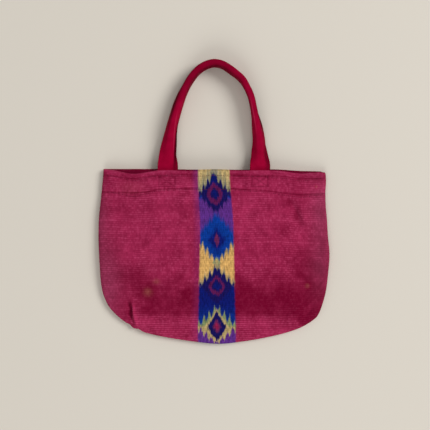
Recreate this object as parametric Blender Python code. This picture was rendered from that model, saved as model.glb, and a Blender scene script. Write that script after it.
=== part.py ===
"""A woven tote bag that lies on its back.

Two panels of ribbed cloth meet along the sides and the bottom, with the hollow of the bag between them.
The mouth has a folded hem, and a webbing handle is sewn inside each hem.
X runs across the bag, Y from its bottom to its handles, and Z up from the surface that it lies on.
"""

import math
from collections import namedtuple

import bmesh
import bpy
from mathutils import Vector

# Driving sizes, in metres
BODY_WIDTH = 0.369
BODY_HEIGHT = 0.279
PUFF_HEIGHT = 0.030
SEAM_HEIGHT = 0.0070
EDGE_ROUNDING = 0.014
CLOTH_THICKNESS = 0.0024
HEM_DEPTH = 0.030
HEM_STEP = 0.0012
STRAP_WIDTH = 0.030
STRAP_THICKNESS = 0.0025
HANDLE_SPACING = 0.146
HANDLE_RISE = 0.165
SEWN_DEPTH = 0.025
CLEARANCE = 0.0003

# How finely the cloth and the straps are divided
PANEL_COLUMNS = 26
PANEL_ROWS = 18
EDGE_STEPS = 3
STRAP_STATIONS = 56

# The sides of the outline. down is a share of BODY_HEIGHT below the mouth, left and right are shares of half of
# BODY_WIDTH from the middle.
Side = namedtuple("Side", "down left right")
SIDES = (
    Side(0.000, 0.955, 0.964),
    Side(0.065, 0.964, 0.974),
    Side(0.117, 0.970, 0.964),
    Side(0.200, 0.983, 0.966),
    Side(0.270, 0.995, 0.977),
    Side(0.375, 1.000, 0.985),
    Side(0.476, 0.995, 1.000),
    Side(0.613, 0.983, 0.984),
    Side(0.683, 0.972, 0.972),
    Side(0.749, 0.940, 0.949),
    Side(0.784, 0.914, 0.932),
    Side(0.818, 0.875, 0.914),
    Side(0.852, 0.815, 0.888),
    Side(0.886, 0.750, 0.850),
)

# The bottom of the outline, from the left boxed corner to the right one. across is a share of half of BODY_WIDTH,
# depth a share of BODY_HEIGHT.
Bottom = namedtuple("Bottom", "across depth")
BOTTOM = (
    Bottom(-0.750, 0.886),
    Bottom(-0.690, 0.900),
    Bottom(-0.638, 0.926),
    Bottom(-0.569, 0.940),
    Bottom(-0.431, 0.960),
    Bottom(-0.155, 0.988),
    Bottom(0.040, 1.000),
    Bottom(0.259, 0.985),
    Bottom(0.534, 0.951),
    Bottom(0.741, 0.910),
    Bottom(0.810, 0.885),
    Bottom(0.888, 0.852),
)

# How far the wavy mouth sinks below its line, as shares of HEM_DEPTH. across is a share of half of BODY_WIDTH.
Mouth = namedtuple("Mouth", "across front back")
MOUTH = (
    Mouth(-0.960, 0.00, 0.00),
    Mouth(-0.640, 0.09, 0.00),
    Mouth(-0.450, 0.01, 0.00),
    Mouth(-0.155, 0.07, 0.03),
    Mouth(0.000, 0.01, 0.01),
    Mouth(0.190, 0.04, 0.04),
    Mouth(0.530, 0.01, 0.02),
    Mouth(0.740, 0.13, 0.10),
    Mouth(0.970, 0.15, 0.13),
)

# The puffed front, section by section. down is a share of the way from the mouth to the bottom, middle and side are
# shares of PUFF_HEIGHT at the bag's middle and just inside its rounded edge.
Section = namedtuple("Section", "down middle side")
SECTIONS = (
    Section(0.00, 0.74, 0.45),
    Section(0.12, 0.82, 0.47),
    Section(0.28, 0.93, 0.52),
    Section(0.47, 1.00, 0.55),
    Section(0.60, 0.95, 0.54),
    Section(0.72, 0.78, 0.49),
    Section(0.82, 0.56, 0.43),
    Section(0.88, 0.45, 0.40),
    Section(0.94, 0.47, 0.41),
    Section(1.00, 0.43, 0.39),
)
CROWN_POWER = 2.2

# The folds of the front. across is a share of half of BODY_WIDTH and down a share of BODY_HEIGHT, at the fold's
# middle. turn is its direction in degrees from X. length and breadth are shares of BODY_WIDTH, and rise is a share of
# PUFF_HEIGHT, below zero for a valley.
Fold = namedtuple("Fold", "across down turn length breadth rise")
FOLDS = (
    Fold(-0.55, 0.25, -14.0, 0.150, 0.030, 0.060),
    Fold(-0.50, 0.33, -12.0, 0.130, 0.028, -0.050),
    Fold(0.69, 0.25, -68.0, 0.090, 0.024, -0.100),
    Fold(0.78, 0.26, -70.0, 0.090, 0.026, 0.060),
    Fold(-0.720, 0.82, -83.0, 0.040, 0.022, -0.140),
    Fold(-0.670, 0.84, -74.0, 0.045, 0.022, 0.090),
    Fold(0.800, 0.82, 55.0, 0.035, 0.022, -0.080),
    Fold(0.710, 0.82, 60.0, 0.045, 0.024, 0.050),
)

# The strap's route from its left sewn end over the arch to its right one. across is a share of half of
# HANDLE_SPACING, rise a share of HANDLE_RISE, and lift a share of STRAP_WIDTH above the surface. inner and outer are
# how far its two edges are folded down, in degrees: a worn strap is folded along its length where the hand holds it.
Route = namedtuple("Route", "across rise lift inner outer")
FRONT_ROUTE = (
    Route(-0.995, 0.097, 0.560, 34.0, 8.0),
    Route(-0.955, 0.251, 0.780, 52.0, 46.0),
    Route(-0.902, 0.403, 0.885, 68.0, 66.0),
    Route(-0.817, 0.551, 0.907, 73.0, 73.0),
    Route(-0.700, 0.695, 0.920, 77.0, 77.0),
    Route(-0.543, 0.832, 0.925, 82.0, 82.0),
    Route(-0.317, 0.952, 0.927, 83.0, 83.0),
    Route(0.010, 1.009, 0.930, 85.0, 85.0),
    Route(0.188, 0.993, 0.932, 88.0, 87.0),
    Route(0.342, 0.951, 0.932, 86.0, 85.0),
    Route(0.615, 0.848, 0.932, 88.0, 88.0),
    Route(0.781, 0.709, 0.932, 90.0, 89.0),
    Route(0.864, 0.558, 0.932, 88.0, 87.0),
    Route(0.926, 0.406, 0.900, 76.0, 70.0),
    Route(0.969, 0.253, 0.790, 64.0, 58.0),
    Route(0.984, 0.097, 0.600, 34.0, 46.0),
)
BACK_ROUTE = (
    Route(-1.000, 0.099, 0.275, 30.0, 15.0),
    Route(-0.961, 0.251, 0.397, 56.0, 50.0),
    Route(-0.908, 0.403, 0.439, 71.0, 69.0),
    Route(-0.825, 0.554, 0.449, 77.0, 76.0),
    Route(-0.708, 0.699, 0.454, 81.0, 80.0),
    Route(-0.549, 0.837, 0.457, 86.0, 85.0),
    Route(-0.319, 0.957, 0.458, 87.0, 86.0),
    Route(0.010, 1.014, 0.458, 90.0, 90.0),
    Route(0.190, 0.998, 0.458, 90.0, 90.0),
    Route(0.346, 0.956, 0.458, 89.0, 88.0),
    Route(0.622, 0.853, 0.458, 90.0, 90.0),
    Route(0.790, 0.713, 0.458, 90.0, 90.0),
    Route(0.872, 0.560, 0.458, 90.0, 90.0),
    Route(0.933, 0.407, 0.451, 79.0, 74.0),
    Route(0.980, 0.253, 0.432, 68.0, 61.0),
    Route(1.010, 0.099, 0.298, 34.0, 30.0),
)
FRONT_ENDS = (-1.016, 0.984)
BACK_ENDS = (-0.990, 1.020)
END_LEAD = 0.003

# Half of the strap's section, from its middle to one edge. run is a share of STRAP_WIDTH and turn is the share of
# the fold that this stretch has taken.
Stretch = namedtuple("Stretch", "run turn")
HALF_SECTION = (
    Stretch(0.05, 0.0),
    Stretch(0.12, 0.5),
    Stretch(0.33, 1.0),
)

CLOTH_COLOUR = (0.29, 0.016, 0.065, 1.0)
STRAP_COLOUR = (0.27, 0.001, 0.022, 1.0)


def steady_slopes(keys, values):
    """Slopes of a curve that never swings past its rows."""
    steps = []
    for i in range(len(keys) - 1):
        steps.append((values[i + 1] - values[i]) / (keys[i + 1] - keys[i]))
    slopes = [steps[0]]
    for before, after in zip(steps, steps[1:]):
        same_way = before * after > 0
        slopes.append(2 * before * after / (before + after) if same_way else 0.0)
    slopes.append(steps[-1])
    return slopes


def flowing_slopes(keys, values):
    """Slopes of a curve that flows through its rows, as a bent strap does."""
    slopes = []
    for i in range(len(keys)):
        low = max(i - 1, 0)
        high = min(i + 1, len(keys) - 1)
        slopes.append((values[high] - values[low]) / (keys[high] - keys[low]))
    return slopes


def curve_value(keys, values, slopes, at):
    """The height of a smooth curve through the rows, at one place along it."""
    at = min(max(at, keys[0]), keys[-1])
    i = max(j for j in range(len(keys) - 1) if keys[j] <= at)
    span = keys[i + 1] - keys[i]
    t = (at - keys[i]) / span
    start = (1 + 2 * t) * (1 - t) ** 2 * values[i] + t * (1 - t) ** 2 * span * slopes[i]
    end = t * t * (3 - 2 * t) * values[i + 1] - t * t * (1 - t) * span * slopes[i + 1]
    return start + end


def read(table, key, column, at):
    """One column of a table, read smoothly between its rows."""
    keys = [getattr(row, key) for row in table]
    values = [getattr(row, column) for row in table]
    return curve_value(keys, values, steady_slopes(keys, values), at)


def mouth_y(x, face):
    """The height of the front or back panel's mouth edge in plan."""
    return -HEM_DEPTH * read(MOUTH, "across", face, x / (BODY_WIDTH / 2))


def row_shares():
    """The rows of a panel as shares of the way down: three for the hem, one just below it, the rest even."""
    hem = HEM_DEPTH / (BODY_HEIGHT * nominal_depth())
    step = HEM_STEP / (BODY_HEIGHT * nominal_depth())
    rows = [0.0, hem / 2, hem, hem + step]
    for i in range(1, PANEL_ROWS + 1):
        rows.append(hem + step + (1 - hem - step) * i / PANEL_ROWS)
    return rows


def nominal_depth():
    """The mean depth of the two boxed corners, as a share of BODY_HEIGHT."""
    return (BOTTOM[0].depth + BOTTOM[-1].depth) / 2


def side_point(side, share, face):
    """A point of the outline's left or right side, at a row's share of the way down."""
    corner = BOTTOM[0].depth if side == "left" else BOTTOM[-1].depth
    down = share * nominal_depth() + (corner - nominal_depth()) * share**3
    sign = -1 if side == "left" else 1
    x = sign * read(SIDES, "down", side, down) * BODY_WIDTH / 2
    return Vector((x, -down * BODY_HEIGHT + (1 - share) * mouth_y(x, face), 0))


def outline(face):
    """The outline from the left mouth corner down, along the bottom and up to the right mouth corner."""
    rows = row_shares()
    left = [side_point("left", share, face) for share in rows]
    right = [side_point("right", share, face) for share in rows]
    bottom = []
    for i in range(1, PANEL_COLUMNS):
        x = left[-1].x + (right[-1].x - left[-1].x) * i / PANEL_COLUMNS
        depth = read(BOTTOM, "across", "depth", x / (BODY_WIDTH / 2))
        bottom.append(Vector((x, -depth * BODY_HEIGHT, 0)))
    return left + bottom + right[::-1]


def inward_normals(points):
    """The outline's inward directions in plan, level at the mouth and evened out over its neighbours."""
    normals = []
    last = len(points) - 1
    for i in range(last + 1):
        along = points[min(i + 2, last)] - points[max(i - 2, 0)]
        normals.append(Vector((-along.y, along.x, 0)).normalized())
    normals[0] = Vector((1, 0, 0))
    normals[last] = Vector((-1, 0, 0))
    return normals


def patch_points(border, face):
    """The plan grid inside the rounded edge, spread between the mouth, the two sides and the bottom."""
    rows = row_shares()
    down = len(rows) - 1
    left = border[: down + 1]
    bottom = border[down : down + PANEL_COLUMNS + 1]
    right = border[down + PANEL_COLUMNS :][::-1]
    grid = []
    for j, share in enumerate(rows):
        pull = share**3
        line = []
        for i in range(PANEL_COLUMNS + 1):
            u = i / PANEL_COLUMNS
            x = left[0].x + (right[0].x - left[0].x) * u
            top = Vector((x, mouth_y(x, face), 0))
            across = left[j] * (1 - u) + right[j] * u
            corners = (left[0] * (1 - u) + right[0] * u) * (1 - pull)
            corners += (left[-1] * (1 - u) + right[-1] * u) * pull
            line.append(top * (1 - pull) + bottom[i] * pull + across - corners)
        grid.append(line)
    return grid


def fold_rise(x, y):
    """The height that the front's folds add at one place in plan."""
    rise = 0.0
    for fold in FOLDS:
        middle = Vector((fold.across * BODY_WIDTH / 2, -fold.down * BODY_HEIGHT))
        turn = math.radians(fold.turn)
        offset = Vector((x, y)) - middle
        along = (offset.x * math.cos(turn) + offset.y * math.sin(turn)) / (fold.length * BODY_WIDTH)
        aside = (offset.y * math.cos(turn) - offset.x * math.sin(turn)) / (fold.breadth * BODY_WIDTH)
        rise += fold.rise * PUFF_HEIGHT * math.exp(-along * along - aside * aside)
    return rise


def crown_height(across, down, x, y):
    """The top of the front panel at a share of the way across and down its patch."""
    side = read(SECTIONS, "down", "side", down)
    middle = read(SECTIONS, "down", "middle", down)
    bulge = 1 - abs(2 * across - 1) ** CROWN_POWER
    return PUFF_HEIGHT * (side + (middle - side) * bulge) + fold_rise(x, y)


def wall(down):
    """The wall's thickness at a row: the hem is folded double."""
    hem = row_shares()[2]
    return 2 * CLOTH_THICKNESS if down <= hem + 1e-9 else CLOTH_THICKNESS


class Sheet:
    """One face of a panel: rings of points round its rounded edge, and a grid of points inside them."""

    def __init__(self, mesh, face, height, seam, inset):
        rows = row_shares()
        edge = outline(face)
        normals = inward_normals(edge)
        border = [point + normal * EDGE_ROUNDING for point, normal in zip(edge, normals)]
        plan = patch_points(border, face)
        self.grid = []
        for j, share in enumerate(rows):
            line = []
            for i in range(PANEL_COLUMNS + 1):
                point = plan[j][i]
                z = height(i / PANEL_COLUMNS, share, point.x, point.y)
                line.append(mesh.verts.new((point.x, point.y, z)))
            self.grid.append(line)
        left = [line[0] for line in self.grid]
        right = [line[-1] for line in self.grid]
        inner_ring = left[:-1] + self.grid[-1] + right[:-1][::-1]
        shares = rows[:-1] + [1.0] * (PANEL_COLUMNS + 1) + rows[:-1][::-1]
        self.rings = []
        for k in range(EDGE_STEPS):
            turn = math.pi / 2 * k / EDGE_STEPS
            ring = []
            for point, normal, inside, share in zip(edge, normals, inner_ring, shares):
                reach = EDGE_ROUNDING * (1 - math.cos(turn)) + inset(share) * math.cos(turn)
                place = point + normal * reach
                place.z = seam + (inside.co.z - seam) * math.sin(turn)
                ring.append(mesh.verts.new(place))
            for end in (0, -1):
                ring[end].co.y = mouth_y(ring[end].co.x, face)
            self.rings.append(ring)
        self.rings.append(inner_ring)

    def mouth(self):
        """The points along the mouth, from left to right."""
        left = [ring[0] for ring in self.rings[:-1]]
        right = [ring[-1] for ring in self.rings[:-1]]
        return left + self.grid[0] + right[::-1]

    def skin(self, mesh):
        """Faces over the grid and the rings."""
        for upper, lower in zip(self.grid, self.grid[1:]):
            bridge(mesh, upper, lower)
        for outer, inner in zip(self.rings, self.rings[1:]):
            bridge(mesh, outer, inner)


def bridge(mesh, first, second):
    """A row of four-sided faces between two lines of points."""
    for a, b, c, d in zip(first, first[1:], second[1:], second):
        mesh.faces.new((a, b, c, d))


def finish(name, mesh, colour, roughness, parent):
    """An object with its own material, smooth over its soft bends, with its faces out."""
    bmesh.ops.recalc_face_normals(mesh, faces=mesh.faces)
    data = bpy.data.meshes.new(name)
    mesh.to_mesh(data)
    mesh.free()
    data.shade_smooth()
    data.set_sharp_from_angle(angle=math.radians(50))
    material = bpy.data.materials.new(name)
    material.use_nodes = True
    shader = material.node_tree.nodes["Principled BSDF"]
    shader.inputs["Base Color"].default_value = colour
    shader.inputs["Roughness"].default_value = roughness
    shader.inputs["Metallic"].default_value = 0.0
    data.materials.append(material)
    piece = bpy.data.objects.new(name, data)
    bpy.context.scene.collection.objects.link(piece)
    piece.parent = parent
    return piece


def panel(name, face, outer_height, inner_height, seam, parent):
    """A wall of cloth between an outer and an inner sheet, joined along the seam and round the mouth."""
    mesh = bmesh.new()
    outer = Sheet(mesh, face, outer_height, seam, lambda share: 0.0)
    inner = Sheet(mesh, face, inner_height, seam, wall)
    outer.skin(mesh)
    inner.skin(mesh)
    bridge(mesh, outer.rings[0], inner.rings[0])
    bridge(mesh, outer.mouth(), inner.mouth())
    return finish(name, mesh, CLOTH_COLOUR, 0.9, parent)


def front_panel(parent):
    """The puffed front, with its hem folded to the inside."""

    def outer(across, down, x, y):
        return crown_height(across, down, x, y)

    def inner(across, down, x, y):
        return crown_height(across, down, x, y) - wall(down)

    return panel("front_panel", "front", outer, inner, SEAM_HEIGHT + CLEARANCE / 2, parent)


def back_panel(parent):
    """The back, flat on the surface, with its edge curled up to the seam."""

    def outer(across, down, x, y):
        return 0.0

    def inner(across, down, x, y):
        return wall(down)

    return panel("back_panel", "back", outer, inner, SEAM_HEIGHT - CLEARANCE / 2, parent)


def hem_underside(x, y):
    """The height of the front hem's inner face at one place in plan."""
    down = (mouth_y(x, "front") - y) / (BODY_HEIGHT * nominal_depth())
    left = side_point("left", down, "front").x + EDGE_ROUNDING
    right = side_point("right", down, "front").x - EDGE_ROUNDING
    across = (x - left) / (right - left)
    return crown_height(across, down, x, y) - 2 * CLOTH_THICKNESS


def sewn_rows(face, end):
    """Stations of a sewn strap end, flat against the hem's inner face, from its tip to just past the mouth."""
    x = end * HANDLE_SPACING / 2
    rows = []
    for y in (-SEWN_DEPTH, -SEWN_DEPTH / 2, 0.0, END_LEAD):
        if face == "front":
            edge = min(y, mouth_y(x, face))
            left = hem_underside(x - STRAP_WIDTH / 2, edge)
            right = hem_underside(x + STRAP_WIDTH / 2, edge)
            middle = (left + right) / 2 - CLEARANCE - STRAP_THICKNESS / 2
            lean = math.atan((right - left) / STRAP_WIDTH)
        else:
            middle = 2 * CLOTH_THICKNESS + CLEARANCE + STRAP_THICKNESS / 2
            lean = 0.0
        rows.append((x, y, middle, 0.0, 0.0, -lean if end > 0 else lean))
    return rows


def strap_rows(face):
    """The whole strap as rows of x, y, z, inner fold, outer fold and lean, from its left tip to its right one."""
    route, ends = (FRONT_ROUTE, FRONT_ENDS) if face == "front" else (BACK_ROUTE, BACK_ENDS)
    rows = sewn_rows(face, ends[0])
    for row in route:
        x = row.across * HANDLE_SPACING / 2
        folds = (math.radians(row.inner), math.radians(row.outer))
        rows.append((x, row.rise * HANDLE_RISE, row.lift * STRAP_WIDTH, *folds, 0.0))
    return rows + sewn_rows(face, ends[1])[::-1]


def strap_stations(face):
    """Even stations along the strap, each with its way along in plan and its row of values."""
    rows = strap_rows(face)
    keys = [0.0]
    for before, after in zip(rows, rows[1:]):
        keys.append(keys[-1] + math.dist(before[:3], after[:3]))
    columns = list(zip(*rows))
    slopes = [flowing_slopes(keys, column) for column in columns[:2]]
    slopes += [steady_slopes(keys, column) for column in columns[2:]]

    def at(key):
        return [curve_value(keys, column, slope, key) for column, slope in zip(columns, slopes)]

    stations = []
    probe = keys[-1] * 1e-4
    for i in range(STRAP_STATIONS + 1):
        key = keys[-1] * i / STRAP_STATIONS
        ahead = at(min(key + probe, keys[-1]))
        behind = at(max(key - probe, 0.0))
        along = Vector((ahead[0] - behind[0], ahead[1] - behind[1], 0)).normalized()
        stations.append((along, at(key)))
    return stations


def half_section(fold):
    """Points from the strap's middle to one edge, each with the way that its face looks, as (aside, up) pairs."""
    points = [(Vector((0, 0)), Vector((0, 1)))]
    place = Vector((0, 0))
    for i, stretch in enumerate(HALF_SECTION):
        turn = fold * stretch.turn
        place = place + Vector((math.cos(turn), -math.sin(turn))) * stretch.run * STRAP_WIDTH
        ahead = fold * HALF_SECTION[min(i + 1, len(HALF_SECTION) - 1)].turn
        mean = (turn + ahead) / 2
        reach = 1 / math.cos((ahead - turn) / 2)
        points.append((place, Vector((math.sin(mean), math.cos(mean))) * reach))
    return points


def strap_section(inner, outer):
    """The strap's whole section from its outer to its inner edge."""
    outside = [(Vector((-p.x, p.y)), Vector((-n.x, n.y))) for p, n in half_section(outer)]
    return outside[:0:-1] + half_section(inner)


def handle(name, face, parent):
    """A webbing strap swept along its route, with its edges folded down along the arch."""
    mesh = bmesh.new()
    rings = []
    for along, (x, y, z, inner, outer, lean) in strap_stations(face):
        inward = Vector((along.y, -along.x, 0))
        aside = inward * math.cos(lean) + Vector((0, 0, math.sin(lean)))
        up = Vector((0, 0, math.cos(lean))) - inward * math.sin(lean)
        section = strap_section(inner, outer)
        upper = [point + normal * STRAP_THICKNESS / 2 for point, normal in section]
        lower = [point - normal * STRAP_THICKNESS / 2 for point, normal in section]
        ring = []
        for point in upper + lower[::-1]:
            ring.append(mesh.verts.new(Vector((x, y, z)) + aside * point.x + up * point.y))
        rings.append(ring)
    for first, second in zip(rings, rings[1:]):
        bridge(mesh, first + first[:1], second + second[:1])
    half = len(rings[0]) // 2
    for ring in (rings[0], rings[-1]):
        bridge(mesh, ring[:half], ring[half:][::-1])
    return finish(name, mesh, STRAP_COLOUR, 0.75, parent)


def centre_on_origin(root, pieces):
    """Moves the root so that the middle of the bag's underside is at the origin."""
    corners = [vertex.co for piece in pieces for vertex in piece.data.vertices]
    low = [min(corner[axis] for corner in corners) for axis in range(3)]
    high = [max(corner[axis] for corner in corners) for axis in range(3)]
    root.location = (-(low[0] + high[0]) / 2, -(low[1] + high[1]) / 2, -low[2])


def build():
    for old in list(bpy.data.objects):
        bpy.data.objects.remove(old)
    root = bpy.data.objects.new("bag", None)
    bpy.context.scene.collection.objects.link(root)
    pieces = [front_panel(root), back_panel(root)]
    pieces += [handle("front_handle", "front", root), handle("back_handle", "back", root)]
    centre_on_origin(root, pieces)


build()
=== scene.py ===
# %% [markdown]
# # A woven tote bag, lying on its back
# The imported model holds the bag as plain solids: two panels of cloth and two webbing handles. This lesson
# dresses them. Each panel is copied, made finer and given the hems, folds, darts and stitches of sewn cloth,
# each handle is modelled again as worn webbing, and everything gets a woven finish made of shader nodes.

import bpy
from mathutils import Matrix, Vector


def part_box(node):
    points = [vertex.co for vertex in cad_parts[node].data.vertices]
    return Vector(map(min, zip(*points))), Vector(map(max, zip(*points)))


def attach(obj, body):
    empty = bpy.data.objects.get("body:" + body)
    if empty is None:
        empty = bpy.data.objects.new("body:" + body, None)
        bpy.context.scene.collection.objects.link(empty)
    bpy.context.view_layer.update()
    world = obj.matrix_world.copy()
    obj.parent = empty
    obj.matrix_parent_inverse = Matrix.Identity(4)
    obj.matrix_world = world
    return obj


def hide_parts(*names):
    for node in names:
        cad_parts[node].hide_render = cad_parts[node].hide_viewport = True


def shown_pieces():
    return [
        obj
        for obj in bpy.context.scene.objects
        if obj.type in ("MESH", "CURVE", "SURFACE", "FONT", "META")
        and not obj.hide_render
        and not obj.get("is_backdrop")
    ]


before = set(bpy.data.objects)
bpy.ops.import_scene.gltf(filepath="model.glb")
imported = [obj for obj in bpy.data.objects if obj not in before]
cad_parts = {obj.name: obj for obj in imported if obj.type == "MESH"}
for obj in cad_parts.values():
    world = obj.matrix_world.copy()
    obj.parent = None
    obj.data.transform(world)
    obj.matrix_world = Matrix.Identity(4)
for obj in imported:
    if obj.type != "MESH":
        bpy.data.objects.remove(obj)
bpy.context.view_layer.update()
print("solids:", sorted(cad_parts))

# %% [markdown]
# ## Sizes that everything hangs on
# All lengths are in metres. X runs across the bag, Y from its bottom to its handles, and Z up from the table.
# The mouth line is where the two hems end, and it is read off the solids, so that the cloth and the pattern
# follow them.

# %% Libraries and sizes
import math
from collections import namedtuple

import bpy
import numpy as np
from mathutils import Vector
from mathutils.bvhtree import BVHTree

MOUTH_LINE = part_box("back_panel")[1][1]
STRAP_WIDTH = 0.030
STRAP_THICKNESS = 0.0025


def named_rows(columns, *rows):
    """The rows of a table, each with its columns named."""
    row_kind = namedtuple("Row", columns)
    return [row_kind(*row) for row in rows]


print("mouth line at y =", round(MOUTH_LINE, 4))

# %% [markdown]
# ## Camera, light and table
# The picture looks straight down and is 430 pixels wide. One pixel covers 1.6 mm of the table, so the lens
# follows from the height of the camera. A broad lamp stands to the upper right, a weaker one below the bag,
# and a pale sky fills the shadows.

# %% Camera
PIXEL = 0.0016
CAMERA_HEIGHT = 1.2
PICTURE_SIDE = 430 * PIXEL
SENSOR = 36

scene = bpy.context.scene
scene.view_settings.view_transform = "Standard"
bpy.ops.object.camera_add(location=(0.0016, -0.0203, CAMERA_HEIGHT), rotation=(0, 0, 0))
camera = bpy.context.object
camera.data.sensor_width = SENSOR
camera.data.lens = SENSOR * CAMERA_HEIGHT / PICTURE_SIDE
scene.camera = camera
print("lens:", round(camera.data.lens, 1), "mm")

# %% Lamp, sky and table
LAMPS = named_rows("x y z size energy", (4.6, 1.8, 4.6, 3.6, 280), (-0.6, -5.0, 3.6, 4.0, 112))

for lamp in LAMPS:
    place = Vector((lamp.x, lamp.y, lamp.z))
    bpy.ops.object.light_add(type="AREA", location=place)
    light = bpy.context.object
    light.data.shape = "DISK"
    light.data.size = lamp.size
    light.data.energy = lamp.energy
    light.rotation_euler = place.to_track_quat("Z", "Y").to_euler()

world = bpy.data.worlds.new("soft sky")
world.use_nodes = True
sky = world.node_tree.nodes["Background"].inputs
sky["Color"].default_value = (1.0, 1.0, 1.0, 1.0)
sky["Strength"].default_value = 0.42
scene.world = world

bpy.ops.mesh.primitive_plane_add(size=6, location=(0, 0, -0.0002))
table = bpy.context.object
table.name = "table"
table_finish = bpy.data.materials.new("pale table")
table_finish.use_nodes = True
table_shader = table_finish.node_tree.nodes["Principled BSDF"]
table_shader.inputs["Base Color"].default_value = (0.700, 0.650, 0.570, 1.0)
table_shader.inputs["Roughness"].default_value = 0.6
table_shader.inputs["Specular IOR Level"].default_value = 0.2
table.data.materials.append(table_finish)
table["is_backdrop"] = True
print(len(LAMPS), "lamps, sky and table are in place")

# %% [markdown]
# ## Helpers for meshes
# An operator works on everything that is selected, so one piece is chosen at a time. Points are read and
# written as tables of numbers, because cloth is shaped here by moving many points by one rule.

# %% Mesh helpers
def choose(piece):
    """Selects one piece and nothing else."""
    bpy.ops.object.select_all(action="DESELECT")
    piece.select_set(True)
    bpy.context.view_layer.objects.active = piece


def go_to(mode):
    """Changes to edit mode or to object mode."""
    bpy.ops.object.mode_set(mode=mode)


def apply_modifier(piece, kind, **settings):
    """Adds a modifier to the chosen piece and applies it."""
    modifier = piece.modifiers.new(kind.lower(), kind)
    for key, value in settings.items():
        setattr(modifier, key, value)
    bpy.ops.object.modifier_apply(modifier=modifier.name)


def points_of(piece, kind="co"):
    """All points of a piece as rows of x, y and z."""
    flat = np.empty(len(piece.data.vertices) * 3)
    piece.data.vertices.foreach_get(kind, flat)
    return flat.reshape(-1, 3)


def normals_of(piece):
    """The way that the surface looks at each point."""
    return points_of(piece, "normal")


def put_points(piece, points):
    """Writes the points back."""
    piece.data.vertices.foreach_set("co", np.ascontiguousarray(points).ravel())
    piece.data.update()


def keep_map(piece, u, v):
    """Keeps a flat map of the cloth, in metres, as the piece's UV map."""
    corners = np.empty(len(piece.data.loops), int)
    piece.data.loops.foreach_get("vertex_index", corners)
    if not piece.data.uv_layers:
        piece.data.uv_layers.new(name="cloth")
    layer = piece.data.uv_layers[0]
    layer.name = "cloth"
    layer.data.foreach_set("uv", np.column_stack((u, v))[corners].ravel())


def keep_number(piece, name, values):
    """Keeps a number for each point of a piece, for its finish to read."""
    layer = piece.data.attributes.new(name, "FLOAT", "POINT")
    layer.data.foreach_set("value", np.ascontiguousarray(values))


def select_points(piece, chosen):
    """Selects points by a table of true and false, ready for edit mode."""
    mesh = piece.data
    mesh.polygons.foreach_set("select", np.zeros(len(mesh.polygons), bool))
    mesh.edges.foreach_set("select", np.zeros(len(mesh.edges), bool))
    mesh.vertices.foreach_set("select", np.asarray(chosen, bool))


def smooth_step(low, high, value):
    """0 below low, 1 above high, with a soft way between."""
    t = np.clip((value - low) / (high - low), 0, 1)
    return t * t * (3 - 2 * t)


def bell(value, width):
    """1 where a value is 0, fading softly to 0 on both sides within about two widths."""
    return np.exp(-((value / width) ** 2))


def surface_of(piece):
    """A piece's surface, for finding the height of the cloth at a place."""
    points = [vertex.co for vertex in piece.data.vertices]
    faces = [face.vertices[:] for face in piece.data.polygons]
    return BVHTree.FromPolygons(points, faces)


print("mesh helpers ready")

# %% [markdown]
# ## Helpers for materials
# A shader is a web of small nodes. These helpers add one node at a time and join it to what feeds it, so that
# a pattern can be written almost as a sum.

# %% Node helpers
def add_node(tree, kind, inputs, **settings):
    """Adds a node. Each of its inputs is a socket to join it to, or a plain value."""
    node = tree.nodes.new(kind)
    for key, value in settings.items():
        setattr(node, key, value)
    for key, value in inputs.items():
        if isinstance(value, bpy.types.NodeSocket):
            tree.links.new(value, node.inputs[key])
        else:
            node.inputs[key].default_value = value
    return node


def sum_node(tree, operation, *values):
    """A Math node's result."""
    return add_node(tree, "ShaderNodeMath", dict(enumerate(values)), operation=operation).outputs[0]


def scaled(tree, value, weight):
    """A value times a weight."""
    return sum_node(tree, "MULTIPLY", value, weight)


def times_plus(tree, value, weight, base):
    """A value times a weight, plus a base."""
    return sum_node(tree, "MULTIPLY_ADD", value, weight, base)


def lean(tree, base, value, middle, weight):
    """base, plus weight times how far a value lies from its middle."""
    return times_plus(tree, sum_node(tree, "SUBTRACT", value, middle), weight, base)


def clamped(tree, value):
    """A value held between 0 and 1."""
    return add_node(tree, "ShaderNodeClamp", {0: value}).outputs[0]


def mix_colours(tree, mask, under, over):
    """under where the mask is 0, over where it is 1."""
    return add_node(tree, "ShaderNodeMix", {0: mask, 6: under, 7: over}, data_type="RGBA").outputs[2]


def mix_values(tree, mask, under, over):
    """The same for plain values."""
    return add_node(tree, "ShaderNodeMix", {0: mask, 2: under, 3: over}).outputs[0]


def ramp(tree, value, low, high, out_low=0.0, out_high=1.0):
    """Carries a value from one range to another with soft ends."""
    inputs = {"Value": value, "From Min": low, "From Max": high, "To Min": out_low, "To Max": out_high}
    return add_node(tree, "ShaderNodeMapRange", inputs, interpolation_type="SMOOTHSTEP").outputs[0]


def noise(tree, place, scale, detail=2.0):
    """Soft unevenness around 0.5. scale says how many lumps there are to the metre."""
    inputs = {"Vector": place, "Scale": scale, "Detail": detail}
    return add_node(tree, "ShaderNodeTexNoise", inputs).outputs[0]


def streaky_noise(tree, place, across, along):
    """Unevenness drawn out along the bag: so many lumps to the metre across it, and so many along."""
    drawn = add_node(tree, "ShaderNodeMapping", {"Vector": place, "Scale": (across, along, 1.0)}).outputs[0]
    return noise(tree, drawn, 1.0)


def kept_number(tree, name):
    """A number that was kept for each point of a piece."""
    return add_node(tree, "ShaderNodeAttribute", {}, attribute_name=name).outputs["Fac"]


def new_finish(name):
    """A new material, with its nodes and its shader."""
    finish = bpy.data.materials.new(name)
    finish.use_nodes = True
    return finish, finish.node_tree, finish.node_tree.nodes["Principled BSDF"]


def press_ribs(tree, shader, height, strength, depth):
    """Gives a shader the relief of a weave that is so deep, in metres."""
    bump = add_node(tree, "ShaderNodeBump", {"Height": height, "Strength": strength, "Distance": depth})
    tree.links.new(bump.outputs[0], shader.inputs["Normal"])


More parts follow.
